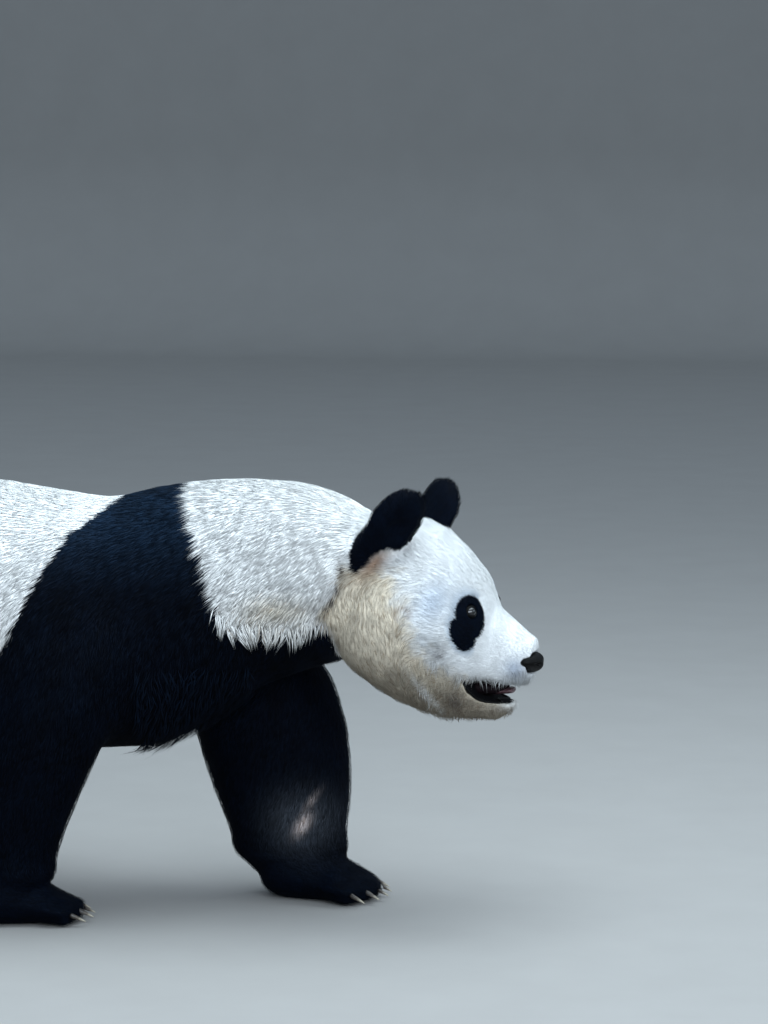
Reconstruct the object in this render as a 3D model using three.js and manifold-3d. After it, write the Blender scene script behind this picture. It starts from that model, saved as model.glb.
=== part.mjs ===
// An adult giant panda at life size, walking slowly with its head held low and turned a little
// to its right. All lengths are in millimetres: +x is forwards, +y is to the panda's left and
// +z is up from the floor.
//
// Flesh is described as fields: functions of a point that are negative inside the flesh, zero at
// the tips of the coat and positive outside. A field is made of round masses that melt into each
// other, or of oval sections along one axis. wrap() lays a closed skin of rings over a field, and
// the skins are then cut from each other, so that the pieces meet along thin cuts.

import * as THREE from "three";
import { mergeVertices } from "three/addons/utils/BufferGeometryUtils.js";
import Module from "manifold-3d";

const wasm = await Module();
wasm.setup();

// ---------------------------------------------------------------- driving dimensions

const GAP = 0.4; // left between two pieces where they meet
const HEAD_YAW = -12; // degrees: the head is turned to the panda's right
const HEAD_PIVOT = new THREE.Vector3(300, 0, 540); // where the head sits on the neck
const EAR_SPREAD = 113; // head's middle plane to the centre of an ear
const EAR_HALF_WIDTH = 49;
const EAR_HALF_HEIGHT = 58;
const EAR_NOD = 24; // degrees that its top is tipped forwards
// Degrees that each ear is turned outwards, and that its top leans towards the other ear, and how
// far it is pulled down. The panda is moving its ears, so the two are held differently.
const EAR_HELD = {
  left: { facing: 58, lean: -30, drop: 7 },
  right: { facing: 48, lean: 34, drop: -3 },
};
const EYE_RADIUS = 12;
const EYE_DEPTH = 0.72; // of its radius, from the coat's surface to its centre
const CLAW_LENGTH = 30;

const BLACK = 0x111216;
const WHITE = 0xe9e7df;
const CREAM = 0xd9d3c4;
const HORN = 0x2a2420;
const EYE_BROWN = 0x1a0f0a;
const DUSKY_PINK = 0x6d4f4c;

// ---------------------------------------------------------------- fields

const { lerp, clamp, degToRad } = THREE.MathUtils;
const at = (x, y, z) => new THREE.Vector3(x, y, z);
const mirrored = (p, side) => at(p.x, p.y * side, p.z);

// An egg-shaped mass round a centre.
function ball(centre, rx, ry, rz) {
  const least = Math.min(rx, ry, rz);
  return (p) =>
    (Math.hypot((p.x - centre.x) / rx, (p.y - centre.y) / ry, (p.z - centre.z) / rz) - 1) * least;
}

// A tapering mass with round ends. It is `wide` times as thick across, along y, as it is tall.
function mass(from, to, fromRadius, toRadius, wide = 1) {
  const squeeze = at(1, 1 / wide, 1);
  const start = from.clone().multiply(squeeze);
  const along = to.clone().multiply(squeeze).sub(start);
  return (p) => {
    const q = p.clone().multiply(squeeze).sub(start);
    const t = clamp(q.dot(along) / along.lengthSq(), 0, 1);
    return q.addScaledVector(along, -t).length() - lerp(fromRadius, toRadius, t);
  };
}

// Fields that melt into each other over about `melt` millimetres.
const joined = (melt, ...fields) => (p) =>
  fields
    .map((field) => field(p))
    .reduce((a, b) => {
      const near = Math.max(melt - Math.abs(a - b), 0) / melt;
      return Math.min(a, b) - (near * near * melt) / 4;
    });

const swollen = (field, by) => (p) => field(p) - by;

// The values of a smooth curve through rows of numbers, by each row's first number.
function curveThrough(rows) {
  const slope = (i, k) => {
    const before = rows[Math.max(i - 1, 0)];
    const after = rows[Math.min(i + 1, rows.length - 1)];
    return (after[k] - before[k]) / (after[0] - before[0]);
  };
  return (where) => {
    const s = clamp(where, rows[0][0], rows.at(-1)[0]);
    const i = Math.max(rows.findIndex((row) => s <= row[0]), 1) - 1;
    const length = rows[i + 1][0] - rows[i][0];
    const t = (s - rows[i][0]) / length;
    return rows[i].slice(1).map((value, j) => {
      const k = j + 1;
      const lift = t * t * (3 - 2 * t);
      const leave = t * (1 - t) * (1 - t) * slope(i, k) * length;
      const arrive = t * t * (t - 1) * slope(i + 1, k) * length;
      return lerp(value, rows[i + 1][k], lift) + leave + arrive;
    });
  };
}

// Flesh as sections along x or z. A row holds the section's place along the axis, its centre in
// the two other directions (y, z or x, y), and its half sizes in them. A fullness of 2 makes
// ovals, and more makes them squarer.
function sections(axis, rows, fullness = 2.25) {
  const section = curveThrough(rows);
  const split = axis === "x" ? (p) => [p.x, p.y, p.z] : (p) => [p.z, p.x, p.y];
  const whole = axis === "x" ? at : (s, a, b) => at(a, b, s);
  const [first, last] = [rows[0][0], rows.at(-1)[0]];
  const field = (p) => {
    const [s, a, b] = split(p);
    const [centreA, centreB, halfA, halfB] = section(s);
    const beyond = s - clamp(s, first, last);
    const ratio = Math.pow(
      Math.pow(Math.abs(a - centreA) / halfA, fullness) +
        Math.pow(Math.abs(b - centreB) / halfB, fullness) +
        Math.pow(Math.abs(beyond) / Math.min(halfA, halfB), fullness),
      1 / fullness,
    );
    return (ratio - 1) * Math.min(halfA, halfB);
  };
  const middle = (t) => {
    const s = lerp(first, last, t);
    const [centreA, centreB] = section(s);
    return whole(s, centreA, centreB);
  };
  return { field, middle };
}

const straight = (from, to) => (t) => from.clone().lerp(to, t);

// ---------------------------------------------------------------- skins and solids

// How far the field goes on from a point inside it, in one direction.
function reach(field, from, way) {
  const there = (r) => field(from.clone().addScaledVector(way, r));
  const stride = 4;
  let far = 0;
  while (there(far) < 0) far += stride;
  let near = Math.max(far - stride, 0);
  for (let i = 0; i < 18; i++) {
    const half = (near + far) / 2;
    if (there(half) < 0) near = half;
    else far = half;
  }
  return near;
}

// A closed skin over a field, in rings square to `axis` round the line `middle`. The rings lie
// closer together towards the two tips.
function wrap(field, middle, axis, rings, spokes) {
  const across = axis.x > 0.5 ? at(0, 1, 0) : at(1, 0, 0);
  const up = axis.clone().cross(across);
  const [first, last] = [middle(0), middle(1)];
  const tail = axis.dot(first) - reach(field, first, axis.clone().negate());
  const tip = axis.dot(last) + reach(field, last, axis);
  const centreAt = (s) => {
    const t = clamp((s - axis.dot(first)) / (axis.dot(last) - axis.dot(first)), 0, 1);
    const centre = middle(t);
    return centre.addScaledVector(axis, s - axis.dot(centre));
  };
  const points = [centreAt(tail)];
  for (let i = 1; i < rings; i++) {
    const centre = centreAt(lerp(tail, tip, (1 - Math.cos((Math.PI * i) / rings)) / 2));
    for (let j = 0; j < spokes; j++) {
      const turn = (2 * Math.PI * j) / spokes;
      const way = across.clone().multiplyScalar(Math.cos(turn)).addScaledVector(up, Math.sin(turn));
      points.push(centre.clone().addScaledVector(way, reach(field, centre, way)));
    }
  }
  points.push(centreAt(tip));
  const ring = (i, j) => 1 + (i - 1) * spokes + (j % spokes);
  const faces = [];
  for (let j = 0; j < spokes; j++) {
    faces.push(0, ring(1, j + 1), ring(1, j));
    for (let i = 1; i < rings - 1; i++) {
      faces.push(ring(i, j), ring(i, j + 1), ring(i + 1, j));
      faces.push(ring(i, j + 1), ring(i + 1, j + 1), ring(i + 1, j));
    }
    faces.push(ring(rings - 1, j), ring(rings - 1, j + 1), points.length - 1);
  }
  return new THREE.BufferGeometry().setFromPoints(points).setIndex(faces);
}

function solidOf(geometry) {
  const bare = geometry.clone();
  bare.deleteAttribute("normal");
  bare.deleteAttribute("uv");
  const merged = mergeVertices(bare, 1e-3);
  return new wasm.Manifold(
    new wasm.Mesh({
      numProp: 3,
      vertProperties: merged.attributes.position.array,
      triVerts: new Uint32Array(merged.index.array),
    }),
  );
}

// The solid's largest body as a named mesh.
function piece(name, solid, color, roughness = 0.9) {
  const body = solid.decompose().sort((a, b) => b.volume() - a.volume())[0];
  const { vertProperties, triVerts } = body.getMesh();
  const geometry = new THREE.BufferGeometry()
    .setAttribute("position", new THREE.BufferAttribute(vertProperties, 3))
    .setIndex(new THREE.BufferAttribute(triVerts, 1));
  geometry.computeVertexNormals();
  const material = new THREE.MeshStandardMaterial({ color, roughness, metalness: 0 });
  const mesh = new THREE.Mesh(geometry, material);
  mesh.name = name;
  return mesh;
}

// Cuts a solid into lengths. Each plane has a point on it and a direction, and the planes are
// given in order along that direction. The lengths come back in the same order.
function lengths(solid, ...planes) {
  const cut = [];
  let rest = solid;
  for (const [point, way] of planes) {
    const normal = way.clone().normalize();
    const level = normal.dot(point);
    const back = normal.clone().negate();
    cut.push(rest.trimByPlane(back.toArray(), -level + GAP / 2));
    rest = rest.trimByPlane(normal.toArray(), level + GAP / 2);
  }
  return [...cut, rest];
}

const FORWARDS = at(1, 0, 0);
const UP = at(0, 0, 1);

// ---------------------------------------------------------------- head, in its own frame
// The head's frame has its origin on the neck pivot, with x towards the nose.

const CROWN = ball(at(114, 0, 9), 145, 132, 127);
const BROW = ball(at(212, 0, -9), 73, 82, 64);
const BRIDGE = mass(at(299, 0, -72), at(340, 0, -82), 46, 27, 1);
const LIPS = mass(at(250, 0, -100), at(308, 0, -113), 52, 36, 1.18);
const JAW = mass(at(206, 0, -160), at(286, 0, -167), 38, 31, 1.35);
const cheek = (side) => ball(at(148, side * 76, -46), 116, 90, 96);
const jowl = (side) => ball(at(176, side * 44, -108), 84, 64, 70);
const headField = joined(
  34,
  CROWN,
  cheek(1),
  cheek(-1),
  jowl(1),
  jowl(-1),
  BROW,
  BRIDGE,
  LIPS,
  JAW,
);
const headMiddle = straight(at(60, 0, -30), at(325, 0, -108));
const headSkin = (by) => solidOf(wrap(swollen(headField, by), headMiddle, FORWARDS, 18, 28));

const headPose = new THREE.Matrix4()
  .makeTranslation(HEAD_PIVOT)
  .multiply(new THREE.Matrix4().makeRotationZ(degToRad(HEAD_YAW)));

// The mouth is a little open. Its outline in the head's middle plane is a leaf that runs from the
// corner of the lips out past the chin.
const MOUTH_CORNER = [250, -118];
const MOUTH_DEPTH = 400;
function mouthCutter() {
  const leaf = new THREE.Shape();
  leaf.moveTo(...MOUTH_CORNER);
  leaf.quadraticCurveTo(284, -130, 372, -137);
  leaf.lineTo(372, -152);
  leaf.quadraticCurveTo(306, -182, 263, -152);
  leaf.lineTo(...MOUTH_CORNER);
  const slot = new THREE.ExtrudeGeometry(leaf, {
    depth: MOUTH_DEPTH,
    bevelEnabled: false,
    curveSegments: 4,
  });
  slot.translate(0, 0, -MOUTH_DEPTH / 2).rotateX(Math.PI / 2);
  return solidOf(slot);
}

// The lower jaw lies under a line that runs through the open mouth, and one from its corner down
// to the throat.
function jawRegion(by) {
  const region = new THREE.Shape();
  const [x, z] = MOUTH_CORNER;
  region.moveTo(x - by, z + by);
  region.lineTo(x + 24, z - 19 + by);
  region.lineTo(400, z - 26 + by);
  region.lineTo(400, -300);
  region.lineTo(x - 90 - by, -300);
  region.closePath();
  const block = new THREE.ExtrudeGeometry(region, { depth: MOUTH_DEPTH, bevelEnabled: false });
  block.translate(0, 0, -MOUTH_DEPTH / 2).rotateX(Math.PI / 2);
  return solidOf(block);
}

// The bare nose pad: broad and rounded above, with a narrow foot, and a nostril on each side.
const noseField = joined(
  10,
  ball(at(339, 0, -95), 26, 31, 13.5),
  ball(at(343, 0, -107), 17, 15, 12),
);
const noseSkin = (by) =>
  solidOf(wrap(swollen(noseField, by), straight(at(334, 0, -98), at(350, 0, -98)), FORWARDS, 6, 10));
function nostril(side) {
  const hole = new THREE.SphereGeometry(5.5, 6, 5).scale(1.2, 1, 0.8);
  return solidOf(hole.translate(360, side * 13, -101));
}

// An eye is let into the head so that only the front of it stands clear.
function eyeball(side, by) {
  const from = at(212, side * 44, -12);
  const way = at(0.88, side * 0.475, 0);
  const centre = from.addScaledVector(way, reach(headField, from, way) - EYE_RADIUS * EYE_DEPTH);
  return solidOf(new THREE.SphereGeometry(EYE_RADIUS + by, 10, 6).translate(...centre));
}

// An ear is a thick round leaf. Its front is hollowed, and its hair runs down behind it into the
// side of the head. In its own frame it faces +x, with its top at +z and the outside at +y.
const leaned = (field, degrees) => {
  const back = new THREE.Matrix4().makeRotationX(degToRad(-degrees));
  return (p) => field(p.clone().applyMatrix4(back));
};
function earField({ lean }) {
  const leaf = joined(
    24,
    leaned(ball(at(0, 0, 0), 22, EAR_HALF_WIDTH, EAR_HALF_HEIGHT), lean),
    mass(at(-14, 36, -46), at(1, 53, -91), 20, 12),
    ball(at(-6, 8, -38), 17, 20, 26),
  );
  const hollow = leaned(ball(at(36, 0, -10), 28, 34, 42), lean);
  return (p) => Math.max(leaf(p), -hollow(p) - 4);
}
const earPose = (side, { facing, drop }) =>
  new THREE.Matrix4()
    .makeTranslation(151, side * EAR_SPREAD, 137 - drop)
    .multiply(new THREE.Matrix4().makeRotationZ(side * degToRad(facing)))
    .multiply(new THREE.Matrix4().makeRotationY(degToRad(EAR_NOD)));
function earSkin(side, held) {
  const middle = new THREE.QuadraticBezierCurve3(
    at(0, side * 52, -87),
    at(-14, side * 20, -46),
    at(-6, 0, 30),
  );
  const inOwnFrame = earField(held);
  const field = (p) => inOwnFrame(mirrored(p, side));
  const skin = wrap(field, (t) => middle.getPoint(t), UP, 12, 13);
  return solidOf(skin).transform(earPose(side, held).elements);
}

// The dusky tongue lies on the lower jaw.
const tongueField = mass(at(262, 0, -153), at(314, 0, -147), 6, 6, 3);
const tongueSkin = (by) =>
  solidOf(
    wrap(swollen(tongueField, by), straight(at(262, 0, -153), at(314, 0, -147)), FORWARDS, 6, 8),
  );

// ---------------------------------------------------------------- neck, trunk and tail

// place along x, centre y, centre z, half width, half height
const trunk = sections("x", [
  [-640, 0, 506, 178, 180],
  [-560, 0, 500, 206, 208],
  [-430, 0, 498, 232, 232],
  [-250, 0, 493, 230, 226],
  [-60, 0, 484, 196, 208],
  [0, 0, 494, 186, 216],
  [60, 0, 507, 178, 216],
  [181, -2, 554, 162, 174],
  [300, -6, 568, 150, 144],
  [390, -24, 560, 116, 104],
]);
const trunkSkin = (by) => solidOf(wrap(swollen(trunk.field, by), trunk.middle, FORWARDS, 22, 24));

const tailField = joined(
  20,
  mass(at(-785, 0, 580), at(-838, 0, 490), 42, 40, 1.15),
  ball(at(-842, 0, 468), 30, 44, 40),
);
const tailMiddle = straight(at(-842, 0, 470), at(-795, 0, 565));
const tailSkin = (by) => solidOf(wrap(swollen(tailField, by), tailMiddle, UP, 6, 10));

// ---------------------------------------------------------------- legs

// height, centre x, centre y, half length fore and aft, half width
const LEGS = {
  foreleg_right: [
    [95, -220, -126, 78, 64],
    [160, -210, -132, 90, 68],
    [230, -194, -146, 108, 74],
    [320, -170, -156, 124, 84],
    [410, -140, -152, 132, 88],
    [490, -104, -138, 122, 80],
    [560, -70, -116, 100, 62],
  ],
  foreleg_left: [
    [95, 216, 120, 102, 68],
    [177, 202, 128, 124, 72],
    [260, 186, 138, 138, 80],
    [340, 166, 146, 140, 88],
    [420, 128, 144, 136, 86],
    [500, 80, 130, 118, 76],
    [560, 40, 110, 98, 60],
  ],
  hindleg_right: [
    [95, -604, -128, 76, 64],
    [170, -586, -140, 94, 74],
    [250, -562, -152, 122, 84],
    [340, -568, -156, 150, 92],
    [430, -596, -146, 162, 94],
    [505, -616, -128, 146, 88],
    [565, -628, -92, 96, 56],
  ],
  hindleg_left: [
    [95, -810, 126, 78, 64],
    [170, -774, 138, 94, 74],
    [250, -722, 152, 118, 84],
    [340, -682, 156, 144, 92],
    [430, -662, 146, 156, 94],
    [505, -652, 128, 142, 88],
    [565, -646, 92, 96, 56],
  ],
};

// A paw stands with its wrist or ankle over its own origin and its toes towards +x.
const TOES = [-2, -1, 0, 1, 2];
const toeRoot = (paw, i) => at(paw.knuckles, i * paw.pitch, 30);
const toeTip = (paw, i) => at(paw.toes - 5 * i * i, i * paw.pitch * 1.22, 19);
const FOREPAW = { heel: 50, knuckles: 66, toes: 120, pitch: 27, broad: 1.3 };
const HINDPAW = { heel: 58, knuckles: 60, toes: 112, pitch: 24, broad: 1.16 };
const pawField = (paw) =>
  joined(
    14,
    mass(at(-paw.heel * 0.55, 0, 46), at(paw.knuckles * 0.7, 0, 34), paw.heel, 42, paw.broad),
    mass(at(0, 0, 60), at(-6, 0, 120), 62, 60, 0.96),
    ...TOES.map((i) => mass(toeRoot(paw, i), toeTip(paw, i), 23, 18.5)),
  );

// x, y and toe-in, in degrees, of each foot
const FEET = {
  foreleg_right: { paw: FOREPAW, x: -232, y: -126, turn: 14 },
  foreleg_left: { paw: FOREPAW, x: 238, y: 118, turn: -12 },
  hindleg_right: { paw: HINDPAW, x: -604, y: -126, turn: 6 },
  hindleg_left: { paw: HINDPAW, x: -806, y: 126, turn: -6 },
};
const footPose = ({ x, y, turn }) =>
  new THREE.Matrix4().makeTranslation(x, y, 0).multiply(new THREE.Matrix4().makeRotationZ(degToRad(turn)));
const pawSkin = (foot, by) => {
  const middle = straight(at(-30, 0, 45), at(foot.paw.knuckles, 0, 30));
  const skin = wrap(swollen(pawField(foot.paw), by), middle, FORWARDS, 11, 16);
  return solidOf(skin).transform(footPose(foot).elements);
};

// A claw is a bent cone whose root is set in the toe.
function claw(paw, i) {
  const root = toeTip(paw, i).add(at(6, 0, 2));
  const bend = at(root.x + CLAW_LENGTH * 0.6, root.y * 1.02, root.z - 2);
  const end = at(root.x + CLAW_LENGTH, root.y * 1.04, 6);
  const line = new THREE.QuadraticBezierCurve3(root, bend, end);
  const field = (p) => {
    const t = clamp((p.x - root.x) / (end.x - root.x), 0, 1);
    return line.getPoint(t).distanceTo(p) - lerp(6.2, 1.2, t);
  };
  return wrap(field, (t) => line.getPoint(t * 0.96), FORWARDS, 3, 5);
}

// ---------------------------------------------------------------- assembly

const panda = new THREE.Group();
const head = new THREE.Group();
head.applyMatrix4(headPose);
panda.add(head);

function addHead() {
  const mouth = mouthCutter();
  let whole = headSkin(0).subtract(mouth).subtract(noseSkin(GAP)).subtract(tongueSkin(GAP));
  for (const side of [-1, 1]) whole = whole.subtract(eyeball(side, GAP));
  head.add(piece("head", whole.subtract(jawRegion(GAP)), WHITE));
  head.add(piece("jaw", whole.intersect(jawRegion(0)), CREAM));
  head.add(piece("tongue", tongueSkin(0), DUSKY_PINK, 0.6));
  head.add(piece("nose", noseSkin(0).subtract(nostril(1)).subtract(nostril(-1)), BLACK, 0.45));
  const behind = trunkSkin(GAP).transform(headPose.clone().invert().elements);
  const outside = headSkin(GAP).add(behind);
  for (const [name, side] of [["left", 1], ["right", -1]]) {
    head.add(piece("ear_" + name, earSkin(side, EAR_HELD[name]).subtract(outside), BLACK));
    head.add(piece("eye_" + name, eyeball(side, 0), EYE_BROWN, 0.1));
  }
}

function addTrunk() {
  const shell = headSkin(GAP).transform(headPose.elements);
  const [rump, barrel, chest, neck] = lengths(
    trunkSkin(0).subtract(shell),
    [at(-520, 0, 0), FORWARDS],
    [at(-220, 0, 0), FORWARDS],
    [at(98, 0, 590), at(1, 0, 0.32)],
  );
  panda.add(piece("neck", neck, WHITE));
  panda.add(piece("chest", chest, BLACK));
  panda.add(piece("barrel", barrel, WHITE));
  panda.add(piece("rump", rump, WHITE));
  panda.add(piece("tail", tailSkin(0).subtract(trunkSkin(GAP)), WHITE));
}

const LIMB_PARTS = {
  fore: ["forepaw", "forearm", "upper_arm"],
  hind: ["hindfoot", "shank", "thigh"],
};
function addLeg(name) {
  const foot = FEET[name];
  const rows = LEGS[name];
  const limb = sections("z", rows, 2);
  const whole = solidOf(wrap(limb.field, limb.middle, UP, 11, 16))
    .add(pawSkin(foot, 0))
    .subtract(trunkSkin(GAP))
    .subtract(tailSkin(GAP))
    .trimByPlane([0, 0, 1], 0);
  const [limbKind, side] = name.split("leg_");
  const cuts = lengths(whole, [at(0, 0, 100), UP], [at(0, 0, 300), UP]);
  cuts.forEach((cut, i) => panda.add(piece(`${LIMB_PARTS[limbKind][i]}_${side}`, cut, BLACK)));
  const outside = pawSkin(foot, GAP);
  TOES.forEach((i) => {
    const horn = solidOf(claw(foot.paw, i)).transform(footPose(foot).elements);
    panda.add(piece(`${limbKind}claw_${side}_${i + 3}`, horn.subtract(outside), HORN, 0.5));
  });
}

addHead();
addTrunk();
Object.keys(LEGS).forEach(addLeg);

// The origin is under the middle of the whole animal, on the floor.
const bounds = new THREE.Box3().setFromObject(panda, true);
const centre = bounds.getCenter(at(0, 0, 0));
panda.position.set(-centre.x, -centre.y, -bounds.min.z);

export default panda;
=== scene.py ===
import math

import bmesh
import bpy
import numpy as np
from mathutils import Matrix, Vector
from mathutils.bvhtree import BVHTree
from mathutils.kdtree import KDTree


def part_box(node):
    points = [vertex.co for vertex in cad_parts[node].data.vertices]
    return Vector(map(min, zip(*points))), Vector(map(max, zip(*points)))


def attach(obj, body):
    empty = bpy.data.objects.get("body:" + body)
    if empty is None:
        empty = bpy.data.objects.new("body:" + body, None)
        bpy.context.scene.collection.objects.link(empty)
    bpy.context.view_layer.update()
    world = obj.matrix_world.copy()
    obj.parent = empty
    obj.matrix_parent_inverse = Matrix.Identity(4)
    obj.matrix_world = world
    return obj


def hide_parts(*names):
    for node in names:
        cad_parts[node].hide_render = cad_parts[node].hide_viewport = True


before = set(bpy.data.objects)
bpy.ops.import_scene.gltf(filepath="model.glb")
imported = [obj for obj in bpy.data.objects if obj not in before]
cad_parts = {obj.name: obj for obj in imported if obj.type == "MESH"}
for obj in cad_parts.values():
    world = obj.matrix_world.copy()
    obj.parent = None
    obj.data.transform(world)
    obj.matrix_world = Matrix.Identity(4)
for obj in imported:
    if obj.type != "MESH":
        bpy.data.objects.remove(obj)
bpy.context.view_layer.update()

# ---------------- where things are
# A full-grown giant panda, one and a half metres from nose to rump, as a museum would show it.
# Its landmarks come from the frame, and the head has axes of its own, because it is turned a
# little to the animal's right: f runs forwards from between the eyes, s to its left, h upwards.


def middle(node):
    low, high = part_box(node)
    return np.array((low + high) / 2)


def unit(v):
    return v / np.maximum(np.linalg.norm(v, axis=-1, keepdims=True), 1e-9)


EYE = {"left": middle("eye_left"), "right": middle("eye_right")}
BETWEEN_EYES = (EYE["left"] + EYE["right"]) / 2
HEAD_LEFT = unit(EYE["left"] - EYE["right"])
HEAD_UP = np.array([0.0, 0.0, 1.0])
HEAD_FORWARD = unit(np.cross(HEAD_LEFT, HEAD_UP))
HEAD_AXES = np.stack([HEAD_FORWARD, HEAD_LEFT, HEAD_UP])


def in_head(points):
    return (points - BETWEEN_EYES) @ HEAD_AXES.T


# ---------------- hide
# The skin is one closed hide over the whole body, head, ears and legs. It lies under the coat by
# the coat's depth: a few millimetres on the muzzle and feet, two centimetres on neck and flanks.
# The hide is made first, because the coat, the lids and the lips are all rooted in it.

BARE = ("nose", "tongue", "eye", "foreclaw", "hindclaw")
FLESH = sorted(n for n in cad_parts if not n.startswith(BARE))
HIDE_CELL = 0.0075
SEAM = 0.0006  # the solids are swollen by this, so that they join where they stand apart


def clean(node):
    """The node's mesh with shared corners, as (points, triangles, point normals)."""
    bm = bmesh.new()
    bm.from_mesh(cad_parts[node].data)
    bmesh.ops.remove_doubles(bm, verts=bm.verts, dist=1e-5)
    bmesh.ops.triangulate(bm, faces=bm.faces)
    bm.normal_update()
    points = np.array([v.co for v in bm.verts])
    normals = np.array([v.normal for v in bm.verts])
    triangles = np.array([[v.index for v in f.verts] for f in bm.faces])
    bm.free()
    return points, triangles, normals


def mesh_object(name, points, faces, smooth=True):
    mesh = bpy.data.meshes.new(name)
    mesh.from_pydata([tuple(p) for p in points], [], [tuple(f) for f in faces])
    mesh.polygons.foreach_set("use_smooth", [smooth] * len(mesh.polygons))
    obj = bpy.data.objects.new(name, mesh)
    bpy.context.scene.collection.objects.link(obj)
    return obj


def take_modifiers(obj):
    """Gives the object the mesh that its modifiers make, and takes them off."""
    graph = bpy.context.evaluated_depsgraph_get()
    made = bpy.data.meshes.new_from_object(obj.evaluated_get(graph))
    obj.modifiers.clear()
    obj.data = made
    made.name = obj.name


def remeshed(name, points, faces, cell):
    """A new mesh object: the outer surface of these closed shells, in small even squares."""
    obj = mesh_object(name, points, faces)
    remesh = obj.modifiers.new("remesh", "REMESH")
    remesh.mode = "VOXEL"
    remesh.voxel_size = cell
    take_modifiers(obj)
    return obj


def rows_of(items, field, width, number=float):
    """A field of all these items, in rows of the given width."""
    flat = np.empty(len(items) * width, dtype=number)
    items.foreach_get(field, flat)
    return flat.reshape(-1, width)


def points_of(mesh):
    return rows_of(mesh.vertices, "co", 3)


def normals_of(mesh):
    return rows_of(mesh.vertex_normals, "vector", 3)


def move_points(mesh, points):
    mesh.vertices.foreach_set("co", points.ravel())
    mesh.update()


def spread(mesh, values, rounds, share=0.5):
    """The values with each point's drawn towards the mean of its neighbours', round by round."""
    ends = rows_of(mesh.edges, "vertices", 2, np.int64)
    a, b = ends.T
    count = len(mesh.vertices)
    degree = np.maximum(np.bincount(ends.ravel(), minlength=count), 1)
    values = values.reshape(count, -1).astype(float)
    for _ in range(rounds):
        around = [
            np.bincount(a, column[b], count) + np.bincount(b, column[a], count)
            for column in values.T
        ]
        values = values + share * (np.stack(around, 1) / degree[:, None] - values)
    return values


all_points, all_faces, face_node, start = [], [], [], 0
for index, node in enumerate(FLESH):
    points, triangles, normals = clean(node)
    all_points.append(points + normals * SEAM)
    all_faces.append(triangles + start)
    face_node += [index] * len(triangles)
    start += len(points)
solid_points, solid_faces = np.concatenate(all_points), np.concatenate(all_faces)
solids = BVHTree.FromPolygons([Vector(p) for p in solid_points], solid_faces.tolist())


def nearest_node(points):
    """Which flesh node each point is nearest to, as its number in FLESH."""
    return np.array([face_node[solids.find_nearest(Vector(p))[2]] for p in points])


def settle(mesh, rounds):
    """Smooths the mesh without shrinking it: each pass inwards is followed by one outwards."""
    for _ in range(rounds):
        move_points(mesh, spread(mesh, points_of(mesh), 1, 0.5))
        move_points(mesh, spread(mesh, points_of(mesh), 1, -0.52))


def snap(mesh):
    """Puts every point of the mesh back on the nearest place of the solids."""
    move_points(mesh, np.array([solids.find_nearest(Vector(p))[0] for p in points_of(mesh)]))


def finer(mesh, chosen):
    """Splits the mesh's edges between chosen points, and leaves it in triangles."""
    bm = bmesh.new()
    bm.from_mesh(mesh)
    edges = [e for e in bm.edges if chosen[e.verts[0].index] and chosen[e.verts[1].index]]
    bmesh.ops.subdivide_edges(bm, edges=edges, cuts=1, use_grid_fill=True)
    bmesh.ops.triangulate(bm, faces=bm.faces)
    bm.to_mesh(mesh)
    bm.free()
    mesh.polygons.foreach_set("use_smooth", [True] * len(mesh.polygons))


def step(low, high, x):
    """Nought up to `low`, one from `high` on, and smooth between them."""
    t = np.clip((x - low) / (high - low), 0.0, 1.0)
    return t * t * (3 - 2 * t)


def eye_distance(points):
    return np.min([np.linalg.norm(points - eye, axis=1) for eye in EYE.values()], axis=0)


hide = remeshed("hide", solid_points, solid_faces, HIDE_CELL)
settle(hide.data, 4)
snap(hide.data)
settle(hide.data, 8)

# The face and ears are modelled twice as finely as the body, and the eyelids and lips twice again.
f, s, h = in_head(points_of(hide.data)).T
finer(hide.data, (f > -0.06) | ((h > 0.10) & (f > -0.2)))
snap(hide.data)
settle(hide.data, 3)
# The trunk and upper limbs run softly into each other.
points = points_of(hide.data)
label = nearest_node(points)
BODY = ("neck", "chest", "barrel", "rump", "thigh", "upper_arm", "forearm", "shank")
soft = spread(hide.data, np.array([n.startswith(BODY) for n in FLESH])[label].astype(float), 8)
move_points(hide.data, points + (spread(hide.data, points, 40) - points) * soft)
MOUTH = in_head(middle("tongue")) - np.array([0, 0, 0.004])
points = points_of(hide.data)
f, s, h = in_head(points).T
mouth_near = (f > MOUTH[0] - 0.04) & (np.abs(h - MOUTH[2]) < 0.024)
finer(hide.data, (eye_distance(points) < 0.022) | mouth_near)
settle(hide.data, 2)
# The bridge runs smoothly into the brow and cheeks, and the chin is rounded.
points = points_of(hide.data)
f, s, h = in_head(points).T
blunt = step(-0.04, -0.01, f) * step(0.014, 0.028, np.abs(h - MOUTH[2]))
blunt = blunt * step(0.022, 0.040, eye_distance(points))
move_points(hide.data, points + (spread(hide.data, points, 10) - points) * blunt[:, None])

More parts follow.
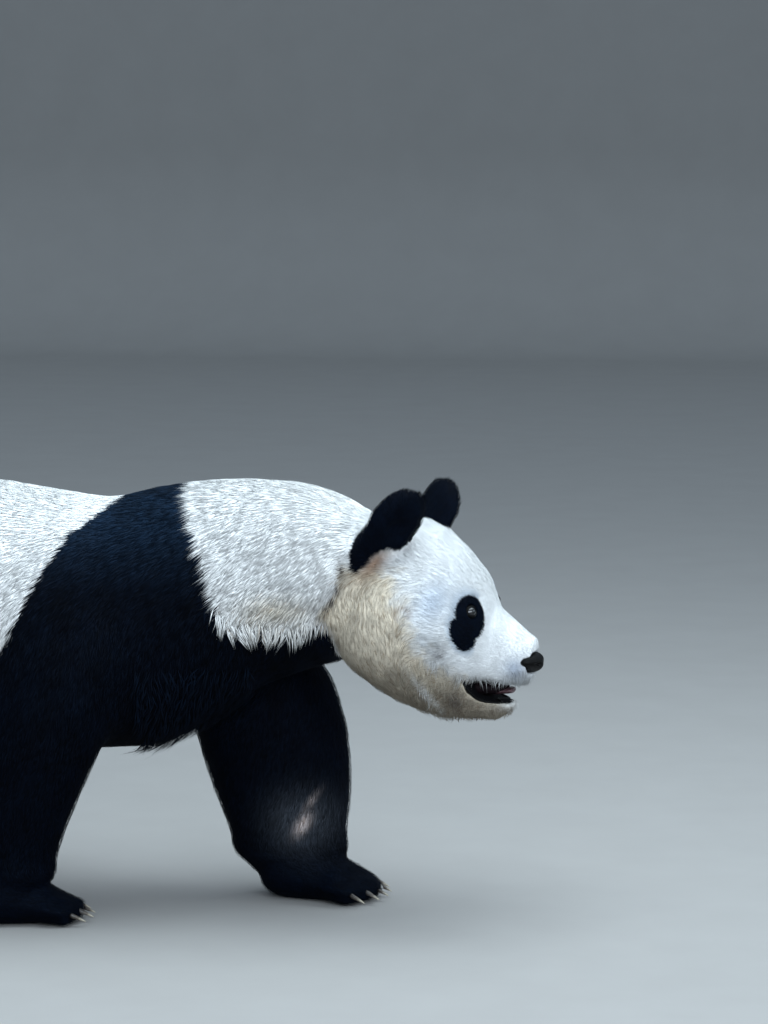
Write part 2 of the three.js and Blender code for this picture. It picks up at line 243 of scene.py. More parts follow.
# How the coat grows on each part: how long and wide a lock of it is, how far apart the locks stand,
# and how much they rise. The hide lies as deep under the solids as the tips stand over it.
COAT = {
    "head": (0.015, 0.0010, 0.0030, 0.18),
    "jaw": (0.013, 0.0010, 0.0029, 0.24),
    "ear": (0.011, 0.0010, 0.0025, 0.32),
    "neck": (0.029, 0.0016, 0.0029, 0.085),
    "chest": (0.029, 0.0016, 0.0034, 0.11),
    "barrel": (0.030, 0.0017, 0.0034, 0.090),
    "rump": (0.030, 0.0017, 0.0036, 0.10),
    "tail": (0.032, 0.0015, 0.0036, 0.28),
    "upper_arm": (0.026, 0.0013, 0.0035, 0.19),
    "thigh": (0.028, 0.0014, 0.0036, 0.19),
    "forearm": (0.022, 0.0013, 0.0037, 0.23),
    "shank": (0.022, 0.0013, 0.0038, 0.23),
    "forepaw": (0.011, 0.0011, 0.0031, 0.26),
    "hindfoot": (0.011, 0.0011, 0.0032, 0.26),
}
MUZZLE_COAT = (0.0055, 0.0008, 0.0020, 0.20)
TIP_HEIGHT = 0.72  # of length times rise: how far a lock's tip stands over its root


points = points_of(hide.data)
label = nearest_node(points)
kind = np.array([n.removesuffix("_left").removesuffix("_right") for n in FLESH])[label]
on_left = np.array(["left" in n for n in FLESH])[label]

# The open mouth, from its corner to its front: how far forwards, and the heights of both lips.
MOUTH_F = (-0.0105, -0.0070, 0.0065, 0.0265, 0.0525, 0.0805)
LIP_UPPER = (-0.107, -0.109, -0.114, -0.1195, -0.1235, -0.1265)
LIP_LOWER = (-0.110, -0.132, -0.1460, -0.1514, -0.1550, -0.1510)


def lip_gap(points):
    """How far outside the open mouth's outline a point of the head is, in metres."""
    f, s, h = in_head(points).T
    above = h - np.interp(f, MOUTH_F, LIP_UPPER)
    under = np.interp(f, MOUTH_F, LIP_LOWER) - h
    return np.maximum(np.maximum(above, under), MOUTH_F[0] - f)


# The cheek's short coat reaches back over the neck as far as a crease, which runs down from behind
# the ear: how far back it is, by height.
CREASE_HEIGHT = (-0.064, -0.034, -0.006, 0.005, 0.015, 0.030, 0.055, 0.085)
CREASE_PLACE = (-0.2095, -0.218, -0.2325, -0.2255, -0.2145, -0.2035, -0.2005, -0.2005)
f, s, h = in_head(points).T
cheek = (f > np.interp(h, CREASE_HEIGHT, CREASE_PLACE)) & (np.abs(s) > 0.09)
cheek = cheek & (h < 0.088) & (h > -0.06)
kind[cheek & (kind == "neck")] = "head"

# The coat is shortest on the muzzle, round the eyes and by the mouth, and longer over the cheeks.
snout = step(-0.02, 0.05, f) * step(0.085, 0.05, np.abs(s))
short = np.maximum(snout, step(0.045, 0.016, eye_distance(points)))
short = np.maximum(short, 0.8 * step(0.028, 0.006, lip_gap(points)))[:, None]
values = np.array([COAT[k] for k in kind])
values = spread(hide.data, values * (1 - short) + np.array(MUZZLE_COAT) * short, 14)

# Which way the coat lies: back over the head from the nose, but down and forwards over the cheeks,
# back and down over the body, down the legs, outwards over the ears, and forwards over the feet.
normal = normals_of(hide.data)
flank = step(0.2, 0.9, np.abs(normal[:, 1]))
hang = step(0.56, 0.47, points[:, 2]) * flank
lie = np.zeros_like(points)
body = np.isin(kind, ("neck", "chest", "barrel", "rump"))
lie[body] = np.stack([-1 + 0.7 * hang, 0 * hang, -0.15 - 0.75 * flank - 0.5 * hang], 1)[body]
lie[np.isin(kind, ("upper_arm", "thigh", "forearm", "shank", "tail"))] = (-0.35, 0, -1)
here = np.isin(kind, ("head", "jaw"))
NOSE = in_head(middle("nose"))
away = unit(np.stack([f - NOSE[0] - 0.01, s * 0.9, h - NOSE[2] + 0.02], 1)[here])
down = (step(-0.045, -0.11, f) * step(0.09, 0.02, h))[here, None]
on_face = unit(away + np.array([-0.25, 0, -0.15])) * (1 - down) + np.array([0.35, 0, -1]) * down
lie[here] = on_face @ HEAD_AXES
for side in ("left", "right"):
    own = on_left == (side == "left")
    here = (kind == "ear") & own
    lie[here] = unit(points[here] - middle("ear_" + side) + np.array([0.012, 0, 0.05]))
    for limb, foot in (("fore", "forepaw"), ("hind", "hindfoot")):
        toes = middle(f"{limb}claw_{side}_3") - middle(f"{foot}_{side}")
        lie[(kind == foot) & own] = unit(toes * np.array([1, 1, 0])) + np.array([0, 0, -0.5])
lie = spread(hide.data, unit(lie), 24)
lie = unit(lie - normal * np.sum(lie * normal, 1)[:, None])

# Where the coat is black: ears, a band over the shoulders that widens down to the chest, and the
# legs. `black` tells how far inside it a point is, up to FAR. The ears' black ends below along a
# line that falls to both sides of a peak, and a streak of it runs down behind the ear.
FAR = 0.05
EAR_EDGE_PLACE = (-0.1785, -0.1645, -0.1545, -0.1385, -0.1195, -0.1065, -0.0985)
EAR_EDGE_HEIGHT = (0.052, 0.066, 0.080, 0.094, 0.109, 0.088, 0.080)
EAR_STREAK_PLACE, EAR_STREAK_HEIGHT = -0.171, 0.078
BAND_REAR_HEIGHT = (0.44, 0.50, 0.566, 0.627, 0.655, 0.70)
BAND_REAR = (-0.108, -0.077, -0.044, -0.010, 0.009, 0.074)
BAND_FRONT_HEIGHT = (0.48, 0.516, 0.597, 0.663, 0.716)
BAND_FRONT = (0.257, 0.252, 0.229, 0.203, 0.181)
THROAT_X = (0.250, 0.268, 0.310, 0.352, 0.384, 0.418, 0.445)
THROAT_HEIGHT = (0.516, 0.496, 0.493, 0.486, 0.490, 0.506, 0.516)


def ripple(points, size, seed):
    """Smooth noise between about -1 and 1, whose waves are `size` metres long."""
    rng = np.random.default_rng(seed)
    total = np.zeros(len(points))
    for k in range(7):
        wave = unit(rng.normal(size=3)) * rng.uniform(0.7, 1.6) * 2 * math.pi / size
        total += np.sin(points @ wave + rng.uniform(0, 6.3))
    return total / 3.2


def slanted(over, up, degrees):
    """These places along a line that leans so many degrees up from level, and across it."""
    lean = math.radians(degrees)
    along = over * math.cos(lean) + up * math.sin(lean)
    return along, over * math.sin(lean) - up * math.cos(lean)


x, y, z = points.T
all_black = np.isin(kind, ("upper_arm", "forearm", "forepaw", "shank", "hindfoot"))
black = np.where(all_black, FAR, -FAR)
trunk = np.isin(kind, ("chest", "barrel", "neck"))
rear = np.interp(z, BAND_REAR_HEIGHT, BAND_REAR) + 0.05 * step(-0.03, 0.03, y) * step(0.70, 0.5, z)
front = np.interp(z, BAND_FRONT_HEIGHT, BAND_FRONT)
band = np.minimum(x - rear, front - x)
below = np.interp(x, THROAT_X, THROAT_HEIGHT) - z
below = np.where(x > front - 0.01, below, -FAR)
black[trunk] = np.clip(np.maximum(band, below), -FAR, FAR)[trunk]
here = kind == "ear"
black[here] = np.clip(h - np.interp(f, EAR_EDGE_PLACE, EAR_EDGE_HEIGHT), -FAR, FAR)[here]
along, across = slanted(f - EAR_STREAK_PLACE, h - EAR_STREAK_HEIGHT, 72)
streak = 0.01 * (1 - np.hypot(along / 0.021, across / 0.009))
here = np.isin(kind, ("head", "ear", "neck")) & (np.abs(s) > 0.09)
black[here] = np.maximum(black, streak)[here]
here = kind == "thigh"
thigh_x = np.where(on_left, middle("thigh_left")[0], middle("thigh_right")[0])
stocking_top = 0.40 - 0.5 * (x - thigh_x) + 0.010 * ripple(points, 0.16, 5)
black[here] = np.clip(stocking_top - z, -FAR, FAR)[here]
black = spread(hide.data, black, 6)[:, 0]

# A crease runs down behind the ears and jaw, where the head turns on the neck.
crease = spread(hide.data, np.isin(kind, ("head", "jaw", "ear")).astype(float), 6)[:, 0]
crease = 4 * crease * (1 - crease) * (h < 0.095)

depth = values[:, :1] * values[:, 3:] * TIP_HEIGHT
move_points(hide.data, spread(hide.data, points - normal * (depth + 0.004 * crease[:, None]), 1))

# Each eye has axes of its own: outwards from the head, up the face, and forwards along it.
EYE_RADIUS = (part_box("eye_left")[1].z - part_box("eye_left")[0].z) / 2
EYE_OPENING = (0.0094, 0.0074)  # half width and half height between the lids
points, normal = points_of(hide.data), normals_of(hide.data)
EYE_AXES = {}
for side, eye in EYE.items():
    out = unit(normal[np.linalg.norm(points - eye, axis=1) < 0.024].mean(0))
    up = unit(HEAD_UP - out * out[2])
    fore = np.cross(up, out)
    fore = fore * np.sign(fore @ HEAD_FORWARD)
    EYE_AXES[side] = np.stack([fore, up, out])
    # The hide dips into the socket, under the front of the eyeball.
    rel = (points - eye) @ EYE_AXES[side].T
    away = np.hypot(rel[:, 0], rel[:, 1])
    ball = np.sqrt(np.maximum(EYE_RADIUS**2 - away**2, 0))
    inside = step(0.0135, 0.0105, away) * (rel[:, 2] > 0) * (rel[:, 2] < 0.03)
    rel[:, 2] += inside * (ball - 0.003 - rel[:, 2])
    near = inside > 0
    points[near] = (eye + rel @ EYE_AXES[side])[near]
points[:, 2] = np.maximum(points[:, 2], 0.0008)
move_points(hide.data, points)

bpy.context.view_layer.objects.active = hide
hide.select_set(True)
bpy.ops.object.mode_set(mode="EDIT")
bpy.ops.mesh.select_all(action="SELECT")
bpy.ops.uv.smart_project(angle_limit=1.2, island_margin=0.001)
bpy.ops.object.mode_set(mode="OBJECT")
hide.data.uv_layers[0].name = "OFBake"
hide.select_set(False)

# The markings, as one function of place that hide and coat share. The white turns cream behind and below
# a line that runs down from the ears and forwards over the jaw, darkens under the jaw with painted
# shade, and turns tan under the ears. Painted shade also lies round the eye patch, in the face's hollows
# and folds and along the crease. On the left forearm's inner side a pool of painted sunlight shows pale.
WHITE = np.array([0.95, 0.95, 0.935])
FACE_WHITE = np.array([0.78, 0.79, 0.79])
CREAM = np.array([0.70, 0.605, 0.465])
PAINTED_JAW_SHADE = np.array([0.20, 0.165, 0.125])
TAN = np.array([0.27, 0.145, 0.075])
STAIN_AND_SHADE = np.array([0.085, 0.072, 0.070])
# The black's navy tint is a painted reflection of the sky; over the shoulders it is lighter, as painted
# sheen.
BLACK = np.array([0.0008, 0.0024, 0.0066])
BLACK_PAINTED_SHEEN = np.array([0.0060, 0.0160, 0.0340])
# Painted sunlight on the left forearm's inner side: a lighter patch of the black, and a pale streak in
# it.
PAINTED_SUNLIGHT_ON_BLACK = np.array([0.054, 0.062, 0.076])
PAINTED_SUNLIT_STREAK = np.array([0.66, 0.55, 0.52])
SHADE = np.array([0.020, 0.016, 0.018])
SKIN_BLACK = np.array([0.004, 0.004, 0.005])
SIDE = 0.03  # how far from the head's middle plane its side begins
CREAM_HEIGHT = (-0.160, -0.130, -0.100, -0.070, -0.012, 0.024, 0.090)
CREAM_PLACE = (0.100, 0.040, -0.020, -0.052, -0.072, -0.097, -0.115)
# Soft dark spots on each cheek, partly stains in the fur and partly painted shade in its folds: place
# forwards and up, half sizes the same ways, and strength. They lie beside the corner of the mouth,
# below the eye, low on the cheek and by the crease.
STAINS_AND_FOLD_SHADE = (
    (-0.027, -0.146, 0.013, 0.018, 0.80),
    (-0.033, -0.060, 0.012, 0.019, 0.80),
    (-0.012, -0.112, 0.008, 0.012, 0.45),
    (-0.104, -0.099, 0.020, 0.010, 0.35),
    (-0.172, -0.012, 0.012, 0.013, 0.30),
    (-0.172, 0.026, 0.022, 0.012, 0.22),
)
# Painted shade in the white, in hollows behind the eye, beside the nose, and below and behind the eye:
# the same four measures, how far out they begin, and what they take of red, green and blue.
PAINTED_HOLLOW_SHADE = (
    (-0.045, 0.022, 0.026, 0.032, SIDE, (0.32, 0.26, 0.16)),
    (0.068, -0.094, 0.018, 0.018, 0.0, (0.52, 0.48, 0.40)),
    (-0.052, -0.040, 0.024, 0.020, SIDE, (0.30, 0.29, 0.28)),
)
# Painted shadow in the gaps between the locks along the crease: place forwards and up, and half sizes.
GAPS = (
    (-0.199, 0.070, 0.0025, 0.0080),
    (-0.204, 0.034, 0.0030, 0.0065),
    (-0.212, 0.015, 0.0035, 0.0055),
    (-0.220, 0.003, 0.0035, 0.0050),
)
# Two ovals make the black round an eye. Each has its place from the eye, across the face and up,
# its half width and half height, and its tilt in degrees.
PATCH_OVALS = (
    (-0.0057, -0.0090, 0.0328, 0.0381, -26.36),
    (-0.0250, -0.0330, 0.0215, 0.0325, 42.40),
)
PATCH_ACROSS = np.array([0.563, 0.826])  # level, along the face at an eye: forwards and inwards
PATCH_REACH = 0.05  # how far off the face's surface a patch still counts
EYE_APART = np.linalg.norm(EYE["left"] - EYE["right"]) / 2
SUNLIT_PLACE = middle("forearm_left") + np.array([0.061, 0.0, -0.067])


def eye_patch(place):
    """Above nought inside a black patch: an oval round the eye, drawn out down and back."""
    deep = np.full(len(place), -1.0)
    for side in (-1, 1):
        rel = place - np.array([0, side * EYE_APART, 0])
        fore, inwards = PATCH_ACROSS
        across = rel @ np.array([fore, -side * inwards, 0.0])
        facing = np.abs(rel @ np.array([inwards, side * fore, 0.0])) < PATCH_REACH
        for place_across, place_up, half_width, half_height, tilt in PATCH_OVALS:
            wide, tall = slanted(across - place_across, rel[:, 2] - place_up, tilt)
            inside = 1 - np.hypot(wide / half_width, tall / half_height)
            deep = np.maximum(deep, np.where(facing, inside, -1))
    return deep


def blot(over, up, half_over, half_up):
    """A soft oval spot: one in its middle, and fading to nought a little beyond its half sizes."""
    return np.exp(-((over / half_over) ** 2) - (up / half_up) ** 2)


def blend(colour, other, share):
    return colour + (other - colour) * np.asarray(share)[:, None]


def less(colour, share, taken):
    """The colour with a share of its red, green and blue taken away."""
    return colour * (1 - np.outer(share, taken))


def creaminess(points):
    """How cream the white is, between nought and one, and a mottling noise."""
    f, s, h = in_head(points).T
    noise = ripple(points, 0.06, 11) * 0.6 + ripple(points, 0.02, 12) * 0.4
    cheeks = step(-0.025, 0.030, np.interp(h, CREAM_HEIGHT, CREAM_PLACE) - f + 0.020 * noise)
    cheeks = cheeks * step(-0.010, 0.006, f - np.interp(h, CREASE_HEIGHT, CREASE_PLACE))
    cheeks = cheeks * step(SIDE, 0.08, np.abs(s) - np.minimum(h + 0.1, 0)) * step(0.085, 0.060, h)
    throat = 0.75 * blot(points[:, 0] - 0.345, points[:, 2] - 0.528, 0.055, 0.024)
    under = 0.8 * step(0.50, 0.36, points[:, 2] + 0.02 * noise) * (f < -0.24)
    return np.clip(0.95 * cheeks + throat + under, 0, 1), noise


def black_with_painted_light(points, noise):
    """The black coat's colour, with painted sheen over the shoulders and painted sunlight on the left
    forearm.
    """
    # Painted sheen: the black is lighter and bluer on top of the shoulders.
    above = step(0.54, 0.70, points[:, 2]) * step(0.36, 0.28, points[:, 0])
    dark = blend(np.tile(BLACK, (len(points), 1)), BLACK_PAINTED_SHEEN, above)
    dark = dark * (1 + 0.25 * noise[:, None])
    # A pool of painted sunlight, with a pale streak in it, on the forearm's inner side.
    over, inwards, up = (points - SUNLIT_PLACE).T
    inner = step(0.03, -0.01, inwards)
    dark = blend(dark, PAINTED_SUNLIGHT_ON_BLACK, 0.8 * inner * blot(over, up - 0.006, 0.055, 0.046))
    along, across = slanted(over, up, 52)
    streak = blot(across, along, 0.009, 0.018) + 0.35 * blot(across + 0.013, along - 0.040, 0.005, 0.018)
    return blend(dark, PAINTED_SUNLIT_STREAK, np.clip(streak * inner * (0.85 + 0.4 * noise), 0, 1))


def paint(points, black, crease):
    """The coat's colour at these points. `black` tells how far inside the black each one is."""
    place = in_head(points)
    f, s, h = place.T
    out = np.abs(s)
    creamy, noise = creaminess(points)
    on_head = step(-0.22, -0.17, f)
    colour = blend(np.tile(WHITE, (len(f), 1)), FACE_WHITE, on_head) * (1 - 0.02 * noise[:, None])
    colour = blend(colour, CREAM * (1 + 0.12 * noise[:, None]), creamy)
    # Painted shade darkens the white under the jaw.
    jaw_shade = step(-0.085, -0.165, h + 0.25 * f + 0.008 * noise) * on_head
    colour = blend(colour, PAINTED_JAW_SHADE, 0.75 * jaw_shade)
    patch = eye_patch(place)
    # A grey halo behind and below the eye patch: dark hairs at its edge, with painted shade.
    colour = less(colour, step(-0.55, 0.1, patch) * (f < 0.01), (0.42, 0.36, 0.28))
    for place_f, place_h, half_f, half_h, least_out, taken in PAINTED_HOLLOW_SHADE:
        hollow_shade = blot(f - place_f, h - place_h, half_f, half_h) * (out >= least_out)
        colour = less(colour, hollow_shade, taken)
    fleck = (0.75 + 0.25 * ripple(points, 0.006, 17)) * (out > SIDE)
    for place_f, place_h, half_f, half_h, strength in STAINS_AND_FOLD_SHADE:
        spot_darkening = strength * blot(f - place_f, h - place_h, half_f, half_h)
        colour = blend(colour, STAIN_AND_SHADE, spot_darkening * fleck)
    # A white lock hangs down the cheek behind the mouth.
    along, across = slanted(f + 0.065, h + 0.127, -67.5)
    colour = blend(colour, WHITE, 0.85 * blot(along, across, 0.034, 0.0055) * (out > SIDE))
    # Tan lies below the ear, and in a small arch on the cheek. The chin's front is pale.
    along, across = slanted(f + 0.1465, h - 0.080, 53.13)
    arch = np.exp(-(((np.hypot(f + 0.0885, h - 0.002) - 0.011) / 0.004) ** 2)) * (h > -0.004)
    tan = 0.9 * blot(along, across, 0.036, 0.016) + 0.35 * arch
    colour = blend(colour, TAN, np.clip(tan, 0, 1) * (out > 0.05))
    colour = blend(colour, WHITE * 0.85, 0.8 * blot(f - 0.060, h + 0.156, 0.018, 0.010))
    for place_f, place_h, half_f, half_h in GAPS:
        gap = blot(f - place_f + 0.5 * (h - place_h), h - place_h, half_f, half_h)
        colour = blend(colour, SHADE, np.clip(1.3 * gap, 0, 0.95) * (out > 0.1))
    # Painted shade darkens the fur along the crease.
    colour = blend(colour, STAIN_AND_SHADE, np.clip(0.6 * crease, 0, 0.35) * (out > 0.1))
    edge = 0.003 * ripple(points, 0.012, 21)
    ink = np.maximum(step(-0.003, 0.003, black + edge), step(-0.04, 0.04, patch + 8 * edge))
    return blend(colour, black_with_painted_light(points, noise), ink)


def set_paint(mesh, colours):
    layer = mesh.color_attributes.new(name="paint", type="FLOAT_COLOR", domain="POINT")
    rgba = np.concatenate([colours, np.ones((len(colours), 1))], 1)
    layer.data.foreach_set("color", rgba.astype(np.float32).ravel())


# The bare black skin round the nose is a wedge on each side, narrow behind: its upper and lower
# edges by how far forwards it is.
WEDGE_PLACE = (0.076, 0.081, 0.095, 0.112)
WEDGE_UPPER = (-0.084, -0.078, -0.0725, -0.0700)
WEDGE_LOWER = (-0.086, -0.0905, -0.1080, -0.1120)


def wedge_depth(points):
    """How far inside the nose's bare wedge a point of the head is, in metres."""
    f, s, h = in_head(points).T
    under_top = np.interp(f, WEDGE_PLACE, WEDGE_UPPER) - h
    over_foot = h - np.interp(f, WEDGE_PLACE, WEDGE_LOWER)
    return np.where(f > WEDGE_PLACE[0], np.minimum(under_top, over_foot), -0.01)


hide_points = points_of(hide.data)
hide_paint = paint(hide_points, black, crease)
bare = step(0.0025, 0.0005, lip_gap(hide_points))
bare = np.maximum(bare, step(-0.0008, 0.0008, wedge_depth(hide_points)))
bare = np.maximum(bare, step(0.0125, 0.0115, eye_distance(hide_points)))[:, None]
hide_paint = hide_paint * (1 - bare) + SKIN_BLACK * bare
set_paint(hide.data, hide_paint)


def material(name, roughness):
    """A new material, as (material, its nodes, its links, its Principled shader)."""
    made = bpy.data.materials.new(name)
    made.use_nodes = True
    nodes, links = made.node_tree.nodes, made.node_tree.links
    shader = nodes["Principled BSDF"]
    shader.inputs["Roughness"].default_value = roughness
    return made, nodes, links, shader


def add(nodes, kind, **inputs):
    node = nodes.new(kind)
    for key, value in inputs.items():
        node.inputs[key.replace("_", " ")].default_value = value
    return node


def attribute(nodes, name):
    """The outputs of a node that reads this attribute of the mesh."""
    node = nodes.new("ShaderNodeAttribute")
    node.attribute_name = name
    return node.outputs


def grain(nodes, links, scale, detail=3.0):
    """A noise texture that is fixed to the object."""
    place = nodes.new("ShaderNodeTexCoord")
    noise = add(nodes, "ShaderNodeTexNoise", Scale=scale, Detail=detail, Roughness=0.6)
    links.new(place.outputs["Object"], noise.inputs["Vector"])
    return noise.outputs["Fac"]


def bump(nodes, links, shader, height, strength, distance):
    node = add(nodes, "ShaderNodeBump", Strength=strength, Distance=distance)
    links.new(height, node.inputs["Height"])
    links.new(node.outputs["Normal"], shader.inputs["Normal"])
    return node


def painted(name, scale, low, high, roughness):
    """A coat's material: the painted markings, varied by a grain. The black reflects less."""
    made, nodes, links, shader = material(name, roughness)
    markings = attribute(nodes, "paint")
    vary = add(nodes, "ShaderNodeMapRange", To_Min=low, To_Max=high)
    links.new(grain(nodes, links, scale), vary.inputs["Value"])
    tone = nodes.new("ShaderNodeVectorMath")
    tone.operation = "SCALE"
    links.new(markings["Color"], tone.inputs[0])
    links.new(vary.outputs["Result"], tone.inputs["Scale"])
    links.new(tone.outputs["Vector"], shader.inputs["Base Color"])
    shine = add(nodes, "ShaderNodeMapRange", From_Max=0.5, To_Min=0.04, To_Max=0.30)
    links.new(markings["Color"], shine.inputs["Value"])
    links.new(shine.outputs["Result"], shader.inputs["Specular IOR Level"])
    return made, nodes, links, shader


mat, nodes, links, shader = painted("hide", 60.0, 0.92, 1.06, 0.75)
bump(nodes, links, shader, grain(nodes, links, 500.0, 4.0), 0.6, 0.001)
hide.data.materials.append(mat)
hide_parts(*FLESH)
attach(hide, "root")

# ---------------- coat
# A panda's coat is thick, coarse and a little woolly. Every lock of it is a thin closed blade,
# rooted in the hide, that rises a little and then lies along the body. Neighbouring locks lean
# together at their tips, as real ones do. On the face, ears and feet they are short and fine.

FACES = rows_of(hide.data.polygons, "vertices", 3, np.int64)
HIDE_UV = rows_of(hide.data.uv_layers["OFBake"].uv, "vector", 2).reshape(-1, 3, 2)
HIDE_NORMAL = normals_of(hide.data)
BAKE_PATCH = 0.003  # width of a lock's own patch on the hide's unwrap
PIECE_TRIANGLES = 195000
CELL_KEY = np.array([1, 4096, 4096 * 4096])  # makes one number of a cell's place
# A blade's corners are its root, its left and right edges and its ridge where it is widest, and
# its tip.
BLADE = np.array([[0, 2, 1], [0, 3, 2], [0, 1, 3], [1, 2, 4], [2, 3, 4], [3, 1, 4]])
BLADE_UV = np.array([[0, -1], [-1, 0], [1, 0], [0, 0], [0, 1]])
# The locks' corners carry painted light: roots lightened against the shade among the locks, tips
# darkened.
BLADE_PAINTED_LIGHT = np.array([1.04, 0.93, 0.93, 0.95, 0.85])  # how light each of these corners is
WIDEST = 0.36  # of the way from root to tip
WIDEST_HEIGHT = 0.55  # of length times rise
RIDGE = 0.12  # of a blade's width
ROOTED = 0.0008  # how deep a root sits in the hide
CLUMP = 0.014  # locks within a cell of this size lean together
LEAST_HEIGHT = 0.0004  # of any lock over the floor
LIT_AS_HIDE = 3.5  # weight of the hide's direction beside a blade's own, where light falls on it
COVER = 0.5  # a lock has the colour of the place under this much of its length

places = KDTree(len(hide_points))
for index, point in enumerate(hide_points):
    places.insert(point, index)
places.balance()
covered = [places.find(point)[1] for point in hide_points + lie * values[:, :1] * COVER]
covered = spread(hide.data, np.stack([black, crease], 1)[covered], 2)

# The blades are lit mostly as the hide under them would be, which is how dense fur looks.
coat_material, nodes, links, shader = painted("coat", 90.0, 0.96, 1.05, 0.68)
own = nodes.new("ShaderNodeNewGeometry")
mean = nodes.new("ShaderNodeVectorMath")
mean.operation = "ADD"
links.new(attribute(nodes, "under")["Vector"], mean.inputs[0])
links.new(own.outputs["Normal"], mean.inputs[1])
even = nodes.new("ShaderNodeVectorMath")
even.operation = "NORMALIZE"
links.new(mean.outputs["Vector"], even.inputs[0])
fibre = bump(nodes, links, shader, grain(nodes, links, 1500.0, 2.0), 0.3, 0.0003)
links.new(even.outputs["Vector"], fibre.inputs["Normal"])


def roots(chosen, gap, seed):
    """Evenly scattered places on the chosen faces: (face, weights of its corners)."""
    rng = np.random.default_rng(seed)
    corners = hide_points[FACES[chosen]]
    area = np.cross(corners[:, 1] - corners[:, 0], corners[:, 2] - corners[:, 0])
    count = rng.poisson(1.5 * np.linalg.norm(area, axis=1) / gap**2)
    which = np.repeat(np.arange(len(chosen)), count)
    face = chosen[which]
    weights = rng.dirichlet((1, 1, 1), len(face))
    place = at_roots(hide_points, face, weights)
    cell = np.floor(place / (gap[which] * 1.15)[:, None]).astype(np.int64)
    _, first = np.unique(cell @ CELL_KEY, return_index=True)
    first = rng.permutation(first)
    return face[first], weights[first]


def at_roots(values, face, weights):
    return np.einsum("ij,ijk->ik", weights, values.reshape(len(values), -1)[FACES[face]])


def group_mean(values, group):
    size = np.bincount(group)
    return np.stack([np.bincount(group, column) / size for column in values.T], 1)[group]


def blades(name, root, up, way, length, width, rise, colour, uv, clumped):
    """One coat piece: a closed blade for every root."""
    side = unit(np.cross(up, way))
    wide, thick = side * width[:, None] / 2, up * width[:, None] * RIDGE
    low = root - up * ROOTED
    lift = up * (length * rise)[:, None]
    mid = root + way * (length * WIDEST)[:, None] + lift * WIDEST_HEIGHT
    tip = root + way * length[:, None] + lift * TIP_HEIGHT
    tip = tip + (ripple(root, 0.004, 31) * length * 0.08)[:, None] * side
    clump = np.floor(root / CLUMP).astype(np.int64) @ CELL_KEY
    _, clump = np.unique(clump, return_inverse=True)
    pull = (group_mean(tip, clump) - tip) * clumped
    tip = tip + pull - up * np.sum(pull * up, 1)[:, None]
    points = np.stack([low, mid - wide, mid + wide, mid + thick, tip], 1)
    points[..., 2] = np.maximum(points[..., 2], LEAST_HEIGHT)
    count, each, faces = len(root), points.shape[1], len(BLADE)
    corners = (BLADE[None] + (np.arange(count) * each)[:, None, None]).ravel()
    mesh = bpy.data.meshes.new(name)
    mesh.vertices.add(count * each)
    mesh.vertices.foreach_set("co", points.ravel())
    mesh.loops.add(len(corners))
    mesh.loops.foreach_set("vertex_index", corners)
    mesh.polygons.add(count * faces)
    mesh.polygons.foreach_set("loop_start", np.arange(count * faces) * 3)
    mesh.update(calc_edges=True)
    mesh.polygons.foreach_set("use_smooth", [True] * (count * faces))
    places = uv[:, None, None] + (BLADE_UV * BAKE_PATCH / 2)[BLADE][None]
    mesh.uv_layers.new(name="OFBake").uv.foreach_set("vector", places.astype(np.float32).ravel())
    set_paint(mesh, np.clip(colour[:, None] * BLADE_PAINTED_LIGHT[:, None], 0, 1).reshape(-1, 3))
    lay = mesh.attributes.new(name="under", type="FLOAT_VECTOR", domain="POINT")
    lay.data.foreach_set("vector", np.repeat(up * LIT_AS_HIDE, each, axis=0).astype(np.float32).ravel())
    mesh.materials.append(coat_material)
    piece = bpy.data.objects.new(name, mesh)
    bpy.context.scene.collection.objects.link(piece)
    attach(piece, "root")


